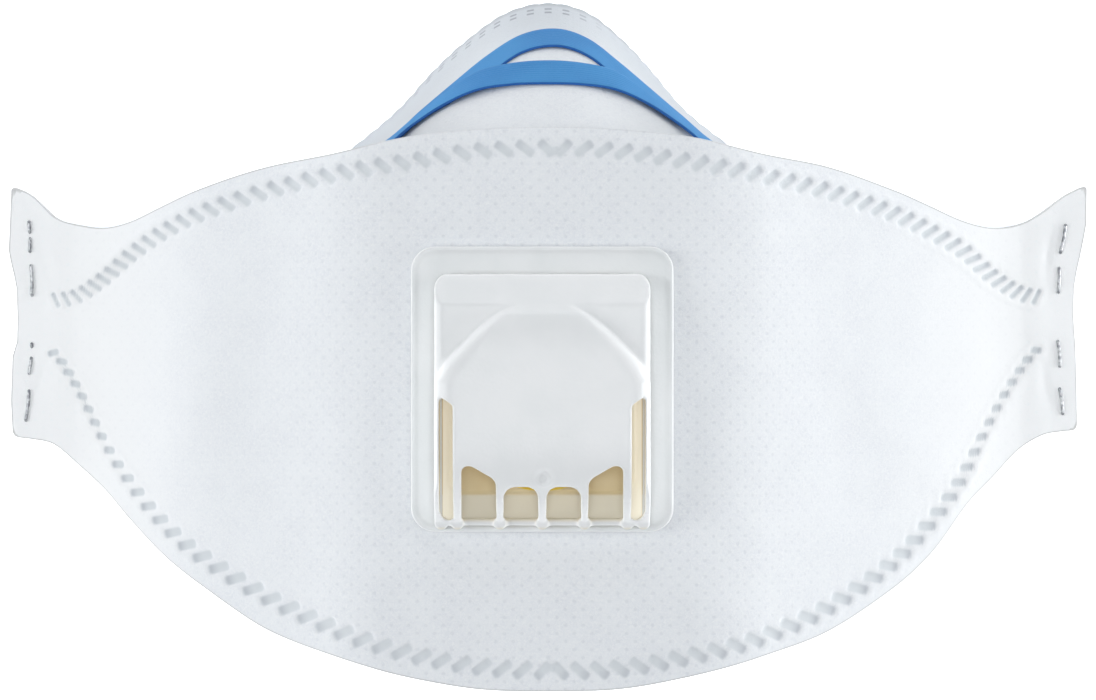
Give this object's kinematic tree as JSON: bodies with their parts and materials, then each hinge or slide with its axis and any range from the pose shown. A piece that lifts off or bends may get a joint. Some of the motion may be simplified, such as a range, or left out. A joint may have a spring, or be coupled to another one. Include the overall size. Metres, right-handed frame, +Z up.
{
  "type": "valved respirator",
  "caption": "Flat-folding cloth respirator opened out: centre, upper and lower panels, exhalation valve, stapled elastic headbands.",
  "frame": {"origin": "middle of the bounding box in plan, on the surface that the mask's rims rest on", "axes": "+X to the right-hand tab as the front is looked at, +Y to the nose, +Z up and out of the front of the mask"},
  "size_m": [0.1888, 0.1194, 0.0594],
  "materials": {
    "cloth": "white point-bonded nonwoven with embossed weld marks",
    "elastic": "blue flat elastic band, fine lengthwise ribs",
    "staple_wire": "drawn steel wire",
    "valve_seat_plastic": "moulded off-white polypropylene, cream inside the valve",
    "diaphragm": "yellow rubber flap",
    "valve_cover_plastic": "moulded translucent white polypropylene, soft gloss"
  },
  "bodies": {
    "root": {"center_panel": "cloth", "upper_panel": "cloth", "lower_panel": "cloth", "upper_strap": "elastic", "lower_strap": "elastic", "staple_left_1": "staple_wire", "staple_left_2": "staple_wire", "staple_left_3": "staple_wire", "staple_left_4": "staple_wire", "staple_right_1": "staple_wire", "staple_right_2": "staple_wire", "staple_right_3": "staple_wire", "staple_right_4": "staple_wire", "valve_base": "valve_seat_plastic", "valve_flap": "diaphragm", "valve_cover": "valve_cover_plastic"}
  },
  "joints": []
}
